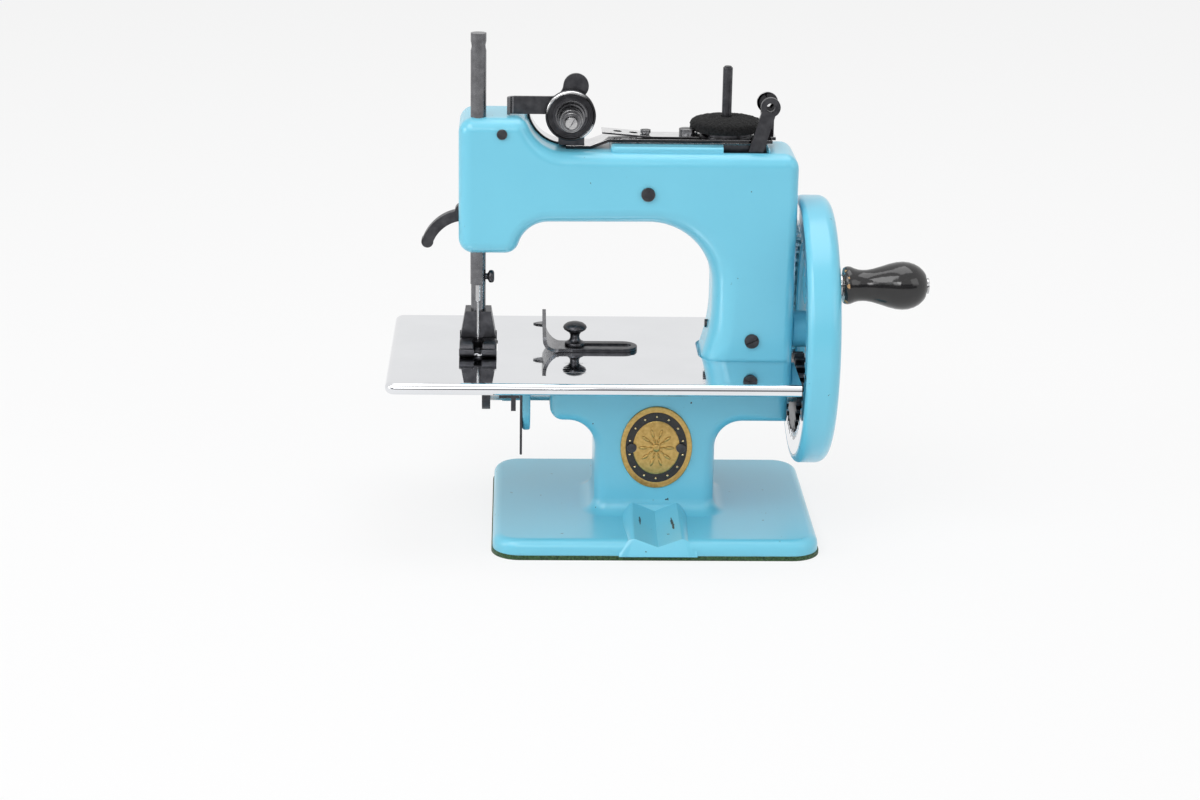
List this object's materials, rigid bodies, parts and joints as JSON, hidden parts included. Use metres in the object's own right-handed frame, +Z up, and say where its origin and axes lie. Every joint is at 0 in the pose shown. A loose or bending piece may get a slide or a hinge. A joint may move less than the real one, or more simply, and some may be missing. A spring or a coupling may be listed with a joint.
{
  "type": "toy sewing machine",
  "caption": "Hand-cranked toy chain-stitch sewing machine: enamelled arm on a pedestal base, chrome cloth plate, geared hand wheel with wooden handle, needle bar, presser foot and tension discs",
  "frame": {"origin": "on the table, under the middle of the base slab", "axes": "+X to the hand wheel, +Y to the back, +Z up"},
  "size_m": [0.1756, 0.09, 0.1672],
  "materials": {
    "enamel": "glossy turquoise-blue enamel on a casting",
    "green_felt": "dark green felt",
    "chrome": "bright plate with fine scratches",
    "brass": "aged brass",
    "blackened": "blackened satin steel",
    "steel": "bright steel",
    "black_felt": "black felt",
    "lacquered_wood": "turned wood with black lacquer"
  },
  "bodies": {
    "machine": {"base_casting": "enamel", "base_felt": "green_felt", "arm_casting": "enamel", "cloth_plate": "chrome", "badge_plate": "brass", "badge_rivets": "blackened", "arm_screws": "blackened", "head_screw": "blackened", "lever_pivot_screw": "blackened", "top_strap": "blackened", "strap_pad": "steel", "leaf_spring": "steel", "strap_screws": "blackened", "tension_bracket": "blackened", "tension_stud": "steel", "tension_disc_rear": "blackened", "tension_disc_front": "steel", "tension_spring": "steel", "spool_pin": "blackened", "spool_washer": "blackened", "spool_felt": "black_felt", "wheel_stud": "steel", "wheel_screw": "steel", "shaft_bushes": "brass", "feed_spring": "blackened", "presser_spring": "steel", "lifter_pin": "steel"},
    "wheel": {"hand_wheel": "enamel", "ring_gear": "chrome", "handle_pin": "steel"},
    "handle": {"crank_handle": "lacquered_wood"},
    "shaft": {"main_shaft": "steel", "shaft_pinion": "blackened", "needle_crank": "steel", "feed_cam": "steel", "looper": "steel"},
    "needle_unit": {"needle_bar": "blackened", "needle_stud": "steel", "needle": "steel"},
    "needle_screw": {"needle_clamp_screw": "blackened"},
    "lever": {"needle_lever": "blackened"},
    "pitman_rod": {"pitman": "steel"},
    "presser": {"presser_bar": "blackened", "presser_collar": "steel", "presser_foot": "blackened"},
    "lifter": {"presser_lifter": "blackened"},
    "feed": {"feed_bar": "blackened"},
    "gauge": {"cloth_gauge": "blackened"},
    "gauge_thumb_screw": {"gauge_screw": "blackened"},
    "nut": {"tension_nut": "steel"}
  },
  "joints": [
    {"name": "hand_wheel_turn", "type": "hinge", "parent": "machine", "child": "wheel", "pos_m": [0.0525, 0, 0.067], "axis": [1, 0, 0], "continuous": true},
    {"name": "handle_spin", "type": "hinge", "parent": "wheel", "child": "handle", "pos_m": [0.0726, -0.02849, 0.08982], "axis": [1, 0, 0], "continuous": true},
    {"name": "main_shaft_turn", "type": "hinge", "parent": "machine", "child": "shaft", "pos_m": [0, 0, 0.0442], "axis": [1, 0, 0], "continuous": true},
    {"name": "needle_bar_slide", "type": "slide", "parent": "machine", "child": "needle_unit", "axis": [0, 0, -1], "range_m": [0, 0.015]},
    {"name": "needle_screw_turn", "type": "hinge", "parent": "needle_unit", "child": "needle_screw", "pos_m": [-0.055, -0.008, 0.0865], "axis": [1, 0, 0], "range_deg": [-180, 180]},
    {"name": "needle_lever_rock", "type": "hinge", "parent": "machine", "child": "lever", "pos_m": [-0.0038, -0.008, 0.1159], "axis": [0, -1, 0], "range_deg": [-0.5, 17.6]},
    {"name": "pitman_swing", "type": "hinge", "parent": "lever", "child": "pitman_rod", "pos_m": [0.0229, -0.008, 0.11189], "axis": [0, 1, 0], "range_deg": [-0.5, 17.6]},
    {"name": "presser_lifter_turn", "type": "hinge", "parent": "machine", "child": "lifter", "pos_m": [-0.06437, -0.0015, 0.1072], "axis": [0, 1, 0], "range_deg": [0, 70]},
    {"name": "presser_bar_slide", "type": "slide", "parent": "machine", "child": "presser", "axis": [0, 0, 1], "range_m": [0, 0.0041], "deforming": ["presser_spring"]},
    {"name": "feed_slide", "type": "slide", "parent": "machine", "child": "feed", "axis": [0, 1, 0], "range_m": [-0.0015, 0.0015]},
    {"name": "gauge_slide", "type": "slide", "parent": "machine", "child": "gauge", "axis": [-1, 0, 0], "range_m": [0, 0.012]},
    {"name": "gauge_screw_turn", "type": "hinge", "parent": "machine", "child": "gauge_thumb_screw", "pos_m": [-0.0267, 0, 0.065], "axis": [0, 0, 1], "range_deg": [-180, 180]},
    {"name": "tension_nut_turn", "type": "hinge", "parent": "machine", "child": "nut", "pos_m": [-0.0292, -0.017, 0.1404], "axis": [0, -1, 0], "range_deg": [-180, 180]}
  ],
  "couplings": [
    {"joint": "main_shaft_turn", "follows": "hand_wheel_turn", "ratio": 2.7273},
    {"joint": "needle_lever_rock", "follows": "needle_bar_slide", "rad_per_m": 19.876},
    {"joint": "pitman_swing", "follows": "needle_bar_slide", "rad_per_m": 19.876},
    {"joint": "presser_bar_slide", "follows": "presser_lifter_turn", "m_per_rad": 0.003274}
  ]
}
